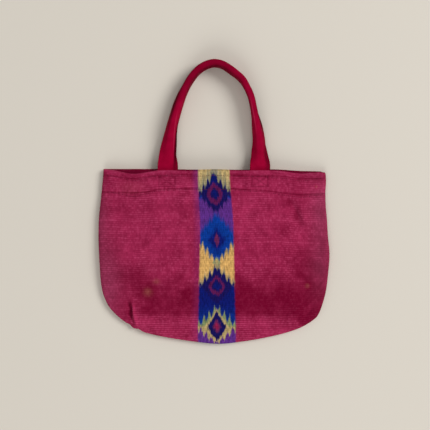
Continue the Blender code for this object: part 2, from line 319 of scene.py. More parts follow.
def new_group(name, inputs, outputs):
    """A node group with named inputs and outputs, and the nodes at its two ends."""
    group = bpy.data.node_groups.new(name, "ShaderNodeTree")
    for socket_name, kind, value in inputs:
        socket = group.interface.new_socket(socket_name, in_out="INPUT", socket_type=kind)
        if value is not None:
            socket.default_value = value
    for socket_name, kind in outputs:
        group.interface.new_socket(socket_name, in_out="OUTPUT", socket_type=kind)
    start = group.nodes.new("NodeGroupInput")
    end = group.nodes.new("NodeGroupOutput")
    return group, start, end


def place_group(tree, group, inputs):
    """Puts a group into a material or into another group."""
    return add_node(tree, "ShaderNodeGroup", inputs, node_tree=group)


print("node helpers ready")

# %% [markdown]
# ## The front panel's cloth
# On the real bag the front is one piece of thick ribbed cloth, sewn to the back along its sides and bottom,
# with its top edge turned in. A cloth simulation would give chance folds, but these folds are known, so the
# solid is copied, made fine, and its points are moved the way a hand would push clay.

# %% Copy a solid and make it fine
MOUTH_ROW = 0.0065
CORNER_SIDE = 0.172


def fine_copy(node, name):
    """A copy of a solid's mesh, merged back into four-sided faces and divided smoothly."""
    piece = bpy.data.objects.new(name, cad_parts[node].data.copy())
    scene.collection.objects.link(piece)
    piece.data.materials.clear()
    choose(piece)
    go_to("EDIT")
    bpy.ops.mesh.select_all(action="SELECT")
    bpy.ops.mesh.remove_doubles(threshold=0.00002)
    bpy.ops.mesh.tris_convert_to_quads(face_threshold=math.radians(70), shape_threshold=math.radians(70))
    go_to("OBJECT")
    points = points_of(piece)
    at_mouth = points[:, 1] > MOUTH_LINE - MOUTH_ROW
    select_points(piece, at_mouth)
    go_to("EDIT")
    bpy.ops.mesh.select_mode(type="VERT")
    bpy.ops.transform.edge_crease(value=0.45)
    go_to("OBJECT")
    select_points(piece, at_mouth & (np.abs(points[:, 0]) > CORNER_SIDE))
    go_to("EDIT")
    bpy.ops.transform.vert_crease(value=0.6)
    go_to("OBJECT")
    apply_modifier(piece, "SUBSURF", levels=2, render_levels=2)
    print(name, "has", len(piece.data.polygons), "faces")
    return piece


front_cloth = fine_copy("front_panel", "front_cloth")
back_cloth = fine_copy("back_panel", "back_cloth")

# %% [markdown]
# Only the outer skin of the front is looked at closely, so its faces are divided once more. They are the
# faces with nothing above them.

# %% Divide the outer skin of the front once more
surface = surface_of(front_cloth)
outside = []
for face in front_cloth.data.polygons:
    above = surface.ray_cast(face.center + Vector((0, 0, 0.0004)), Vector((0, 0, 1)))
    outside.append(above[0] is None and face.normal.z > -0.2)
choose(front_cloth)
select_points(front_cloth, np.zeros(len(front_cloth.data.vertices), bool))
front_cloth.data.polygons.foreach_set("select", outside)
go_to("EDIT")
bpy.ops.mesh.select_mode(type="FACE")
bpy.ops.mesh.subdivide(number_cuts=1, smoothness=0)
go_to("OBJECT")
print("outer skin:", sum(outside), "faces became", len(front_cloth.data.polygons), "in all")

# %% [markdown]
# ## A map of the flat cloth
# The ribs and the pattern belong to the cloth, so they need a map of it: u runs along the ribs and v up the
# bag, both in metres. Seen from above the bag is nearly flat, so the map starts as x and y. Where the edge
# curls under, the cloth is longer than it looks, and the map is stretched outwards by that much. The mouth
# sags in places, and the ribs sag with it.

# %% Map the cloth
MOUTH_REACH = 0.178
EDGE_STRETCH = 0.57


def mouth_dip(points):
    """How far the mouth edge sags below the mouth line, at marks across the bag."""
    top = points[points[:, 1] > MOUTH_LINE - 0.012]
    marks = np.linspace(-MOUTH_REACH, MOUTH_REACH, 60)
    dips = [MOUTH_LINE - top[np.abs(top[:, 0] - mark) < 0.006][:, 1].max() for mark in marks]
    return marks, np.array(dips)


def map_cloth(piece, edge_height):
    """Writes the flat map as the piece's UV map, in metres, and returns it point by point."""
    points = points_of(piece)
    normals = normals_of(piece)
    marks, dips = mouth_dip(points)
    dip = np.interp(points[:, 0], marks, dips)
    down = np.clip((MOUTH_LINE - points[:, 1]) / 0.25, 0, 1)
    level = np.hypot(normals[:, 0], normals[:, 1]) + 1e-6
    curl = EDGE_STRETCH * np.maximum(0, edge_height(points[:, 2]))
    u = points[:, 0] + normals[:, 0] / level * curl
    v = points[:, 1] + dip * (1 - down) + normals[:, 1] / level * curl
    keep_map(piece, u, v)
    return u, v


front_u, front_v = map_cloth(front_cloth, lambda z: 0.0125 - z)
back_u, back_v = map_cloth(back_cloth, lambda z: z)
print("cloth mapped:", round(front_v.min(), 3), "to", round(front_v.max(), 3))

# %% [markdown]
# ## Folds, hem and darts of the front
# Every fold is a smooth ridge or valley with a place, a direction and a size, as in the table. The hem is two
# layers thick, pressed down where it is stitched and puffed between. Stitching draws the cloth together, so
# it puckers on both sides of each line. The mouth edge sags, most of all where it stands open on the left.
# Small nicks in the outline, at the darts and corners, get a table of their own and are pressed into both
# panels.

# %% Tables of folds
FRONT_RIDGES = named_rows(
    "x y turn length breadth rise",
    (-0.100, -0.022, -14, 0.060, 0.0090, 0.0012),
    (-0.085, -0.036, -12, 0.050, 0.0080, -0.0013),
    (-0.128, -0.008, -20, 0.030, 0.0080, -0.0008),
    (0.1180, 0.0020, -46, 0.008, 0.0036, -0.0014),
    (0.1275, -0.0120, -60, 0.010, 0.0036, -0.0018),
    (0.1340, -0.0300, -76, 0.012, 0.0044, -0.0014),
    (0.1400, -0.0180, -72, 0.020, 0.0060, 0.0014),
    (0.1180, -0.0250, -30, 0.008, 0.0034, 0.0016),
    (0.1220, -0.0330, -20, 0.007, 0.0030, 0.0012),
    (0.1000, -0.0100, -50, 0.012, 0.0050, -0.0008),
    (0.000, -0.160, 0, 0.160, 0.0120, -0.0012),
    (0.000, -0.190, 2, 0.130, 0.0100, 0.0010),
    (-0.1345, -0.1640, -66, 0.006, 0.0020, -0.0030),
    (-0.1318, -0.1715, -100, 0.006, 0.0019, -0.0044),
    (-0.1310, -0.1810, -74, 0.007, 0.0020, -0.0042),
    (-0.1288, -0.1700, -86, 0.008, 0.0026, 0.0030),
    (-0.1262, -0.1850, -70, 0.012, 0.0030, 0.0032),
    (-0.1400, -0.1720, -80, 0.012, 0.0042, 0.0014),
    (0.1490, -0.1760, 55, 0.012, 0.0028, -0.0022),
    (0.1440, -0.1820, 52, 0.012, 0.0040, 0.0012),
)


def ridge_height(x, y, ridge):
    """The height that one ridge adds at each place."""
    turn = math.radians(ridge.turn)
    along = ((x - ridge.x) * math.cos(turn) + (y - ridge.y) * math.sin(turn)) / ridge.length
    aside = ((y - ridge.y) * math.cos(turn) - (x - ridge.x) * math.sin(turn)) / ridge.breadth
    return ridge.rise * np.exp(-along**2 - aside**2)


def ripples(x, y, length, seed, count=7):
    """Gentle unevenness between -1 and 1: a few waves of about one length in fixed chance directions."""
    chance = np.random.default_rng(seed)
    total = np.zeros_like(x)
    for _ in range(count):
        turn = chance.uniform(0, math.pi)
        wave = 2 * math.pi / (length * chance.uniform(0.7, 1.5))
        shift = chance.uniform(0, 2 * math.pi)
        total += np.sin((x * math.cos(turn) + y * math.sin(turn)) * wave + shift)
    return total / count * 1.4


print(len(FRONT_RIDGES), "ridges in the table")

# %% Shape the front
BOX_PLACES = (-0.0742, 0.0718)
BOX_TOP = 0.0115
BOX_WIDTH = 0.025
BOX_HEIGHT = 0.0165
ROW_MARKS = (-0.174, -0.130, -0.100, -0.088, -0.036, 0.0345, 0.075, 0.1115, 0.137, 0.176)
FIRST_ROW = (0.0101, 0.0118, 0.0100, 0.0094, 0.0086, 0.0094, 0.0104, 0.0122, 0.0126, 0.0104)
SECOND_ROW = (0.0368, 0.0366, 0.0350, 0.0330, 0.0300, 0.0314, 0.0345, 0.0384, 0.0384, 0.0358)


def past_row(u, below, row):
    """How far a place lies past a row of stitches."""
    return below - np.interp(u, ROW_MARKS, row) - 0.0003 * ripples(u, u * 0, 0.02, 6)


def box_lines(u, below):
    """1 on the box with a cross that holds a handle's end, 0 away from it, on both sides of the bag."""
    down = below - BOX_TOP - BOX_HEIGHT / 2
    total = np.zeros_like(u)
    for middle in BOX_PLACES:
        side = np.abs(u - middle)
        outward = np.maximum(side / (BOX_WIDTH / 2), np.abs(down) / (BOX_HEIGHT / 2))
        frame_line = np.abs(outward - 1) * BOX_HEIGHT / 2
        cross_line = np.abs(side / BOX_WIDTH - np.abs(down) / BOX_HEIGHT) * BOX_HEIGHT * 0.8
        cross_line += 0.01 * (outward > 1)
        total += bell(np.minimum(frame_line, cross_line), 0.0010)
    return total


def hem_height(u, below):
    """The hem's relief, pressed in at each row of stitches and puffed between the rows."""
    first = past_row(u, below, FIRST_ROW)
    second = past_row(u, below, SECOND_ROW)
    relief = 0.0006 * bell(first - 0.011, 0.007)
    relief += 0.0005 * bell(first + 0.0045, 0.0028)
    relief -= 0.0009 * bell(first, 0.0013)
    relief -= 0.0012 * bell(second, 0.0015)
    for past in (first, second):
        pucker = np.sin(u * 2 * math.pi / 0.0085 + 4 * ripples(u, below, 0.05, 5))
        relief += 0.00026 * pucker * bell(past, 0.0055)
    relief -= 0.0006 * smooth_step(0.000, 0.003, second) * (1 - smooth_step(0.005, 0.030, second))
    relief -= 0.0006 * box_lines(u, below)
    return relief


MOUTH_SAG = 0.0021
SLIT_MIDDLE = -0.128
SLIT_SAG = 0.0034
CORNER_MIDDLE = 0.140
CORNER_SAG = 0.0018
NICKS = named_rows(
    "x y reach push_x push_y",
    (-0.1270, -0.1975, 0.0050, -0.0006, -0.0022),
    (-0.1335, -0.1915, 0.0035, 0.0008, 0.0014),
    (-0.1180, -0.2010, 0.0040, 0.0002, 0.0010),
    (0.1545, -0.1835, 0.0040, -0.0010, 0.0012),
    (0.1755, 0.0500, 0.0040, -0.0012, -0.0016),
)


def nicked(points):
    """The points with small bumps and nicks pressed into the outline."""
    moved = points.copy()
    for nick in NICKS:
        near = np.exp(-((points[:, 0] - nick.x) ** 2 + (points[:, 1] - nick.y) ** 2) / nick.reach**2)
        moved[:, 0] += nick.push_x * near
        moved[:, 1] += nick.push_y * near
    return moved


points = nicked(points_of(front_cloth))
x, y, z = points.T
free = smooth_step(0.0074, 0.0130, z)
lift = sum(ridge_height(x, y, ridge) for ridge in FRONT_RIDGES)
lift += 0.00070 * ripples(x, y, 0.070, 11)
lift += 0.00028 * ripples(x, y, 0.024, 12)
lift += hem_height(front_u, MOUTH_LINE - front_v)
edge_pucker = np.sin((front_u - front_v) * 2 * math.pi / 0.011 + 2 * ripples(x, y, 0.06, 14))
lift += 0.0003 * edge_pucker * bell(z - 0.0110, 0.0030)
below = MOUTH_LINE - front_v
slit = bell(front_u - SLIT_MIDDLE, 0.026) * (1 - smooth_step(0.0, 0.020, below))
sag = MOUTH_SAG + CORNER_SAG * bell(front_u - CORNER_MIDDLE, 0.045)
points[:, 1] -= (SLIT_SAG * slit + sag * (1 - smooth_step(0.0, 0.012, below))) * free
points[:, 2] += (lift + 0.0006 * slit) * free
put_points(front_cloth, points)
print("front reaches", round(points[:, 2].max() * 1000, 1), "mm above the table")

# %% [markdown]
# Sun and handling have faded the cloth in places, and hands have soiled it. Each such place is a soft spot in
# a table, and their sum is kept point by point for the cloth's finish. Painted shade darkens the cloth along
# the rows of stitches, along the boxes of stitching and on the slope above the bottom edge. Two numbers are
# kept: how worn a place is, with that painted shade, and how stained. A stain below 0 is a painted purplish
# sheen, along the sides.

# %% Faded and soiled places
SPOT_COLUMNS = "x y wide high amount"
# Most rows are faded places. The rows at the left dart and at the right fold paint shade in their valleys and
# light on their ridges, and darker rows low on the right carry the painted shade of the slope out to that
# side.
FADES_AND_PAINTED_FOLD_LIGHT = named_rows(
    SPOT_COLUMNS,
    (0.000, 0.038, 0.400, 0.012, -0.10),
    (0.000, -0.030, 0.400, 0.040, 0.06),
    (-0.070, 0.000, 0.050, 0.030, 0.06),
    (0.060, -0.010, 0.050, 0.040, 0.08),
    (-0.085, 0.028, 0.024, 0.014, 0.30),
    (-0.075, -0.050, 0.030, 0.030, 0.18),
    (-0.125, -0.065, 0.030, 0.040, 0.14),
    (0.074, 0.024, 0.014, 0.020, 0.30),
    (0.120, 0.000, 0.016, 0.022, -0.22),
    (0.100, -0.040, 0.016, 0.050, -0.20),
    (0.165, -0.075, 0.018, 0.050, -0.30),
    (0.145, -0.098, 0.035, 0.022, -0.30),
    (0.028, -0.160, 0.016, 0.020, -0.40),
    (0.090, -0.150, 0.060, 0.024, -0.14),
    (-0.145, -0.114, 0.040, 0.018, -0.36),
    (0.125, -0.116, 0.026, 0.014, -0.36),
    (0.155, -0.188, 0.034, 0.016, -0.80),
    (0.178, -0.060, 0.012, 0.080, -0.30),
    # Painted shade in the left dart's valley and painted light on its ridge.
    (-0.1330, -0.1640, 0.0024, 0.0070, -0.80),
    (-0.1318, -0.1760, 0.0022, 0.0080, -1.00),
    (-0.1275, -0.1690, 0.0026, 0.0100, 0.80),
    (-0.1235, -0.1850, 0.0030, 0.0080, 0.70),
    # Painted shade in the right fold's valleys and painted light on its ridge.
    (0.1190, 0.0000, 0.0060, 0.0050, -0.30),
    (0.1300, -0.0200, 0.0050, 0.0110, -0.45),
    (0.1170, -0.0260, 0.0090, 0.0080, 0.40),
)
STAINS_AND_PAINTED_SHEEN = named_rows(
    SPOT_COLUMNS,
    (-0.1045, -0.1420, 0.006, 0.006, 0.60),
    (-0.0905, -0.1245, 0.005, 0.004, 0.50),
    (0.1475, -0.1310, 0.004, 0.004, 0.50),
    (0.1620, 0.0280, 0.0032, 0.0032, 0.55),
    (-0.1300, 0.0250, 0.020, 0.010, 0.12),
    # The rows below 0 paint a purplish sheen along the sides.
    (-0.1700, -0.1300, 0.022, 0.060, -0.36),
    (0.1720, -0.0100, 0.022, 0.050, -0.34),
    (0.1700, -0.1000, 0.020, 0.050, -0.26),
    (-0.1780, -0.0300, 0.012, 0.050, -0.24),
)


def sum_spots(u, v, spots):
    """The soft spots of a table added up at each place."""
    total = np.zeros_like(u)
    for spot in spots:
        total += spot.amount * np.exp(-(((u - spot.x) / spot.wide) ** 2) - ((v - spot.y) / spot.high) ** 2)
    return total


def cloth_wear_and_painted_shade(u, v, spots):
    """How faded each place of the cloth is, from 0 to 1, with painted shade on the slope above the bottom
    edge and along the stitching.
    """
    worn = 0.48 + sum_spots(u, v, spots)
    low = v + 0.008 * ripples(u, v, 0.09, 41)
    blur = 0.012 * smooth_step(0.020, 0.110, u)
    flange = smooth_step(-0.172 + blur, -0.189 - blur, v + 0.003 * ripples(u, v, 0.06, 42))
    # Painted shade: the slope above the bottom edge is darkened.
    painted_shade_on_slope = smooth_step(-0.095, -0.152, low) * (1 - flange)
    worn -= 0.56 * painted_shade_on_slope * smooth_step(-0.160, -0.104, u)
    worn += 0.16 * smooth_step(-0.178, -0.188, v)
    # Painted shade along the rows of stitches and the boxes of stitching.
    for row, depth in ((FIRST_ROW, 0.55), (SECOND_ROW, 0.75)):
        worn -= depth * bell(past_row(u, MOUTH_LINE - v, row), 0.0011)
    worn -= 0.45 * box_lines(u, MOUTH_LINE - v)
    worn += 0.25 * bell(MOUTH_LINE - v, 0.0022)
    return worn


keep_number(front_cloth, "worn", cloth_wear_and_painted_shade(front_u, front_v, FADES_AND_PAINTED_FOLD_LIGHT))
keep_number(front_cloth, "stains_and_painted_sheen", sum_spots(front_u, front_v, STAINS_AND_PAINTED_SHEEN))
# Painted shadow: the inside of the back panel just below the mouth is darkened, where it shows in the gap
# under the front's edge.
looks_up = smooth_step(0.2, 0.6, normals_of(back_cloth)[:, 2])
inside = looks_up * smooth_step(-0.012, -0.006, back_v - MOUTH_LINE)
keep_number(back_cloth, "worn", cloth_wear_and_painted_shade(back_u, back_v, FADES_AND_PAINTED_FOLD_LIGHT[:3]) - 2.0 * inside)
keep_number(back_cloth, "stains_and_painted_sheen", back_u * 0)
print(len(FADES_AND_PAINTED_FOLD_LIGHT), "faded and soiled places")

# %% Shape the back
points = nicked(points_of(back_cloth))
x, y, z = points.T
sunk = 0.0003 * (1 + ripples(x, y, 0.060, 21))
for row in (FIRST_ROW, SECOND_ROW):
    sunk += 0.0005 * bell(past_row(back_u, MOUTH_LINE - back_v, row), 0.0018)
points[:, 2] += sunk * (1 - smooth_step(0.004, 0.006, z))
points[:, 2] = np.maximum(points[:, 2], 0.0)
put_points(back_cloth, points)
print("back rests at", round(points[:, 2].min() * 1000, 2), "mm")

# %% [markdown]
# ## The handles
# Each handle is a flat webbing strap, worn until its edges fold down along its length. It is first modelled
# flat, as a thin strip with rounded edges, which also gives it a true map of its length and width. Then every
# point is carried to its place: across, the strip's edges fold down at two rounded bends, and along, it
# follows the route from one hem over the arch to the other.

# %% The routes
STOP_COLUMNS = "x y z inner outer"
FRONT_STOPS = named_rows(
    STOP_COLUMNS,
    (-0.0726, 0.0690, 0.0168, 34, 8),
    (-0.0697, 0.0944, 0.0234, 54, 44),
    (-0.0658, 0.1195, 0.0266, 69, 65),
    (-0.0629, 0.1317, 0.0269, 70, 70),
    (-0.0555, 0.1558, 0.0274, 75, 75),
    (-0.0457, 0.1792, 0.0277, 80, 80),
    (-0.0322, 0.2008, 0.0278, 83, 82),
    (-0.0231, 0.2097, 0.0278, 82, 82),
    (-0.0118, 0.2162, 0.0278, 84, 83),
    (0.0007, 0.2190, 0.0279, 84, 85),
    (0.0137, 0.2163, 0.0280, 88, 88),
    (0.0250, 0.2097, 0.0279, 83, 83),
    (0.0352, 0.2018, 0.0279, 82, 82),
    (0.0449, 0.1929, 0.0280, 88, 88),
    (0.0515, 0.1815, 0.0280, 90, 90),
    (0.0570, 0.1700, 0.0280, 90, 90),
    (0.0631, 0.1451, 0.0280, 88, 88),
    (0.0655, 0.1325, 0.0277, 82, 80),
    (0.0676, 0.1200, 0.0270, 74, 70),
    (0.0695, 0.1074, 0.0256, 68, 64),
    (0.0707, 0.0947, 0.0237, 62, 58),
    (0.0713, 0.0820, 0.0210, 46, 56),
    (0.0718, 0.0690, 0.0180, 32, 48),
)
BACK_STOPS = named_rows(
    STOP_COLUMNS,
    (-0.0730, 0.0693, 0.0083, 30, 15),
    (-0.0702, 0.0944, 0.0119, 56, 50),
    (-0.0663, 0.1195, 0.0132, 71, 69),
    (-0.0602, 0.1444, 0.0135, 77, 76),
    (-0.0517, 0.1683, 0.0136, 81, 80),
    (-0.0401, 0.1911, 0.0137, 86, 85),
    (-0.0233, 0.2109, 0.0137, 87, 86),
    (0.0007, 0.2203, 0.0137, 90, 90),
    (0.0139, 0.2177, 0.0137, 90, 90),
    (0.0253, 0.2107, 0.0137, 89, 88),
    (0.0454, 0.1937, 0.0137, 90, 90),
    (0.0577, 0.1706, 0.0137, 90, 90),
    (0.0637, 0.1454, 0.0137, 90, 90),
    (0.0681, 0.1201, 0.0135, 79, 74),
    (0.0715, 0.0947, 0.0130, 68, 61),
    (0.0737, 0.0693, 0.0089, 34, 30),
)
SEWN_END = MOUTH_LINE - 0.025
BACK_ENDS = (-0.0723, 0.0745)
BACK_HEM_TOP = 0.0048


def sewn_stops(x, height):
    """A sewn end, flat against the inside of the hem, from its tip to the mouth."""
    places = (SEWN_END, SEWN_END + 0.0125, MOUTH_LINE, MOUTH_LINE + 0.003)
    return [(x, place, height(x, place), 0, 0) for place in places]


def flowing(stops, count=900):
    """A smooth line through the stops, as even rows of x, y, z and the two folds, with the length so far."""
    rows = np.array(stops, float)
    steps = np.linalg.norm(np.diff(rows[:, :3], axis=0), axis=1)
    keys = np.concatenate(([0], np.cumsum(steps)))
    slopes = np.gradient(rows, keys, axis=0)
    at = np.linspace(0, keys[-1], count)
    i = np.clip(np.searchsorted(keys, at, side="right") - 1, 0, len(keys) - 2)
    span = (keys[i + 1] - keys[i])[:, None]
    t = (at - keys[i])[:, None] / span
    line = (1 + 2 * t) * (1 - t) ** 2 * rows[i] + t * (1 - t) ** 2 * span * slopes[i]
    line += t * t * (3 - 2 * t) * rows[i + 1] - t * t * (1 - t) * span * slopes[i + 1]
    steps = np.linalg.norm(np.diff(line[:, :3], axis=0), axis=1)
    return line, np.concatenate(([0], np.cumsum(steps)))


front_inside = surface_of(front_cloth)


def under_front_hem(x, y):
    """The height at which a strap lies against the inside of the front hem."""
    ceiling = front_inside.ray_cast(Vector((x, min(y, MOUTH_LINE - 0.004), 0.009)), Vector((0, 0, 1)))[0]
    return ceiling.z - 0.0002 - STRAP_THICKNESS / 2


def on_back_hem(x, y):
    """The height at which a strap lies on the inside of the back hem."""
    return BACK_HEM_TOP + 0.0003 + STRAP_THICKNESS / 2


def whole_route(ends, stops, height):
    """The route from the sewn end on the left, over the arch, to the sewn end on the right."""
    left, right = (sewn_stops(x, height) for x in ends)
    return flowing(left + stops + right[::-1])


front_line = whole_route(BOX_PLACES, FRONT_STOPS, under_front_hem)
back_line = whole_route(BACK_ENDS, BACK_STOPS, on_back_hem)
print("straps are", round(front_line[1][-1], 3), "and", round(back_line[1][-1], 3), "m long")

# %% [markdown]
# A handle is darkened by painted shade where its edges stay folded down, and lightened by a painted
# highlight on the crease where it bends most. They are soft spots too, placed across and along the flat
# strap.
# A value above 0 lets the painted crease highlight show, and a value below 0 paints shade.

# %% Painted shade and crease highlight of the straps
STRAP_PAINTED_SHADE_AND_HIGHLIGHT = named_rows(
    SPOT_COLUMNS,
    (0.0120, 0.065, 0.0034, 0.036, -1.60),
    (0.0060, 0.078, 0.0040, 0.040, 0.90),
    (-0.0065, 0.125, 0.0036, 0.026, -1.20),
    (0.0000, 0.165, 0.0400, 0.034, -0.30),
    (0.0000, 0.232, 0.0400, 0.050, -0.30),
    (0.0080, 0.225, 0.0045, 0.080, -0.50),
    (-0.0100, 0.322, 0.0050, 0.034, -2.20),
    (0.0025, 0.330, 0.0030, 0.026, 0.70),
    (-0.0135, 0.400, 0.0040, 0.026, -0.70),
)
print(len(STRAP_PAINTED_SHADE_AND_HIGHLIGHT), "worn places on each strap")

# %% Model a flat strap, then lay it along its route
STRAP_STEP = 0.0022
FOLD_FROM = 0.05
FOLD_TO = 0.17


def flat_strap(name, length):
    """A flat strip of webbing with rounded edges: length along x, width along y, with its map in metres."""
    bpy.ops.object.select_all(action="DESELECT")
    rows = round(length / STRAP_STEP)
    bpy.ops.mesh.primitive_grid_add(x_subdivisions=rows, y_subdivisions=22, size=1)
    strap = bpy.context.object
    strap.name = name
    bpy.ops.transform.resize(value=(length, STRAP_WIDTH, 1))
    bpy.ops.transform.translate(value=(length / 2, 0, 0))
    bpy.ops.object.transform_apply(location=True, rotation=True, scale=True)
    apply_modifier(strap, "SOLIDIFY", thickness=STRAP_THICKNESS, offset=0)
    apply_modifier(strap, "BEVEL", width=0.0008, segments=3, limit_method="ANGLE")
    points = points_of(strap)
    keep_map(strap, points[:, 1], points[:, 0])
    # The strap's painted shade and painted crease highlight are kept as its worn number.
    keep_number(strap, "worn", sum_spots(points[:, 1], points[:, 0], STRAP_PAINTED_SHADE_AND_HIGHLIGHT))
    return strap


def folded_place(aside, fold):
    """Where a point of the strap's width goes when its edge is folded down: sideways, up and its tilt."""
    far = np.abs(aside)
    side = np.sign(aside)
    across = np.zeros_like(far)
    up = np.zeros_like(far)
    count = 24
    for k in range(count):
        share = far * (k + 0.5) / count
        tilt = fold * smooth_step(FOLD_FROM, FOLD_TO, share / STRAP_WIDTH)
        across += np.cos(tilt) * far / count
        up -= np.sin(tilt) * far / count
    tilt = fold * smooth_step(FOLD_FROM, FOLD_TO, far / STRAP_WIDTH)
    return across * side, up, tilt * side


def lay_strap(strap, line, lengths, seed):
    """Carries a flat strap to its route."""
    flat = points_of(strap)
    along = flat[:, 0]
    row = [np.interp(along, lengths, line[:, k]) for k in range(5)]
    ahead = np.gradient(line[:, :2], lengths, axis=0)
    way_x = np.interp(along, lengths, ahead[:, 0])
    way_y = np.interp(along, lengths, ahead[:, 1])
    size = np.hypot(way_x, way_y)
    inward_x, inward_y = way_y / size, -way_x / size
    inner_side = flat[:, 1] > 0
    worn = 1 + 0.05 * ripples(along, along * 0, 0.09, seed)
    fold = np.radians(np.where(inner_side, row[3], row[4])) * worn
    across, up, tilt = folded_place(flat[:, 1], fold)
    across += flat[:, 2] * np.sin(tilt)
    up += flat[:, 2] * np.cos(tilt)
    points = np.column_stack((row[0] + inward_x * across, row[1] + inward_y * across, row[2] + up))
    put_points(strap, points)


front_strap = flat_strap("front_strap", front_line[1][-1])
lay_strap(front_strap, *front_line, seed=31)
back_strap = flat_strap("back_strap", back_line[1][-1])
lay_strap(back_strap, *back_line, seed=32)
print("front strap has", len(front_strap.data.polygons), "faces")

# %% [markdown]
# ## Stitches
# Two rows of stitches hold the hem, and a box with a cross in it holds each end of a handle. One stitch is
# modelled as a short thread with pressed ends, and copied along each line. It lies on the cloth, half sunk in
# its groove. The boxes are a piece of their own, because their thread is lighter than the hem's.

# %% Model one stitch and copy it along the lines
STITCH = 0.0030
THREAD = 0.00055
ROW_END = 0.170


def one_stitch():
    """A stitch at the origin, along x."""
    bpy.ops.object.select_all(action="DESELECT")
    bpy.ops.mesh.primitive_uv_sphere_add(segments=6, ring_count=5, radius=0.5, rotation=(0, math.pi / 2, 0))
    stitch = bpy.context.object
    bpy.ops.transform.resize(value=(STITCH * 0.86, THREAD * 1.5, THREAD))
    bpy.ops.object.transform_apply(location=True, rotation=True, scale=True)
    points = points_of(stitch)
    faces = sorted(face.vertices[:] for face in stitch.data.polygons)
    bpy.data.objects.remove(stitch)
    return points, faces


def stitch_line(start, end):
    """Places of stitches on a straight line, each with the way it runs."""
    start, end = Vector(start), Vector(end)
    count = max(2, round((end - start).length / STITCH))
    return [(start.lerp(end, (k + 0.5) / count), (end - start).normalized()) for k in range(count)]


def sewing(name, places, surface, sink):
    """One piece made of many stitches that lie on a surface."""
    shape, faces = one_stitch()
    all_points = []
    all_faces = []
    for place, way in places:
        hits = []
        for reach in (-STITCH / 2, STITCH / 2):
            spot = place + way * reach
            hits.append(surface.ray_cast(Vector((spot.x, spot.y, 0.08)), Vector((0, 0, -1)))[0])
        if None in hits:
            continue
        along = (hits[1] - hits[0]).normalized()
        aside = Vector((0, 0, 1)).cross(along).normalized()
        up = along.cross(aside)
        middle = (hits[0] + hits[1]) / 2 - up * sink
        turned = shape @ np.array((along, aside, up)) + np.array(middle)
        all_faces += [[len(all_points) + i for i in face] for face in faces]
        all_points += turned.tolist()
    mesh = bpy.data.meshes.new(name)
    mesh.from_pydata(all_points, [], all_faces)
    mesh.shade_smooth()
    piece = bpy.data.objects.new(name, mesh)
    scene.collection.objects.link(piece)
    return piece


def box_stitching(x, top, width, height):
    """The box with a cross in it that holds a handle."""
    left, right, bottom = x - width / 2, x + width / 2, top - height
    corners = [(left, top, 0), (right, top, 0), (right, bottom, 0), (left, bottom, 0)]
    places = []
    for a, b in ((0, 1), (1, 2), (2, 3), (3, 0), (0, 2), (1, 3)):
        places += stitch_line(corners[a], corners[b])
    return places


front_surface = surface_of(front_cloth)
front_marks, front_dips = mouth_dip(points_of(front_cloth))
places = []
for row in (FIRST_ROW, SECOND_ROW):
    for place, way in stitch_line((-ROW_END, MOUTH_LINE, 0), (ROW_END, MOUTH_LINE, 0)):
        place.y -= np.interp(place.x, front_marks, front_dips) + np.interp(place.x, ROW_MARKS, row)
        places.append((place, way))
hem_stitches = sewing("hem_stitches", places, front_surface, sink=0.0001)
box_places = []
for x in BOX_PLACES:
    box_places += box_stitching(x, MOUTH_LINE - BOX_TOP, BOX_WIDTH, BOX_HEIGHT)
box_stitches = sewing("box_stitches", box_places, front_surface, sink=0.0002)
print(len(places), "stitches in rows and", len(box_places), "in boxes")

# %% [markdown]
# ## Ribbed weave
# The cloth is woven with thick weft threads, which make fine ribs across the bag. A rib is a wave across the
# map. The threads are spun by hand, so each rib has its own shade, and thicker places show along it as short
# light dashes.

# %% Ribbed weave as a node group
RIB = 0.0034
DASH = 0.0042
WARP = 0.0011

weave, weave_in, weave_out = new_group(
    "ribbed weave",
    (
        ("Map", "NodeSocketVector", None),
        ("Rib", "NodeSocketFloat", RIB),
        ("Dash", "NodeSocketFloat", DASH),
    ),
    (("Height", "NodeSocketFloat"), ("Crest", "NodeSocketFloat"), ("Shade", "NodeSocketFloat")),
)
split = add_node(weave, "ShaderNodeSeparateXYZ", {0: weave_in.outputs["Map"]})
wander = noise(weave, weave_in.outputs["Map"], 45.0)
rib_at = sum_node(weave, "DIVIDE", split.outputs["Y"], weave_in.outputs["Rib"])
rib_at = times_plus(weave, wander, 1.1, rib_at)
wave = sum_node(weave, "SINE", scaled(weave, rib_at, 2 * math.pi))
crest = times_plus(weave, wave, 0.5, 0.5)
rib_number = sum_node(weave, "FLOOR", sum_node(weave, "ADD", rib_at, 0.25))
dash_at = sum_node(weave, "DIVIDE", split.outputs["X"], weave_in.outputs["Dash"])
dash_place = add_node(weave, "ShaderNodeCombineXYZ", {0: dash_at, 1: scaled(weave, rib_number, 3.7)})
dashes = noise(weave, dash_place.outputs[0], 1.0, 4.0)
row_shade = add_node(weave, "ShaderNodeTexWhiteNoise", {"W": rib_number}, noise_dimensions="1D")
shade = times_plus(weave, row_shade.outputs[0], 0.12, dashes)
warp_at = scaled(weave, split.outputs["X"], 2 * math.pi / WARP)
warp = sum_node(weave, "SINE", times_plus(weave, rib_number, math.pi, warp_at))
height = times_plus(weave, warp, 0.10, crest)
height = times_plus(weave, dashes, 0.9, height)
for name, result in (("Height", height), ("Crest", crest), ("Shade", shade)):
    weave.links.new(result, weave_out.inputs[name])
print("ribbed weave:", len(weave.nodes), "nodes")

# %% [markdown]
# ## The patterned stripe
# Down the middle runs a stripe whose warp threads were tied and dyed before weaving. Its diamonds have long
# teeth up and down, because each thread slipped a little, and the colours bleed along the threads. One node
# group draws a toothed diamond, and a table says where each one goes, from the mouth to the bottom.

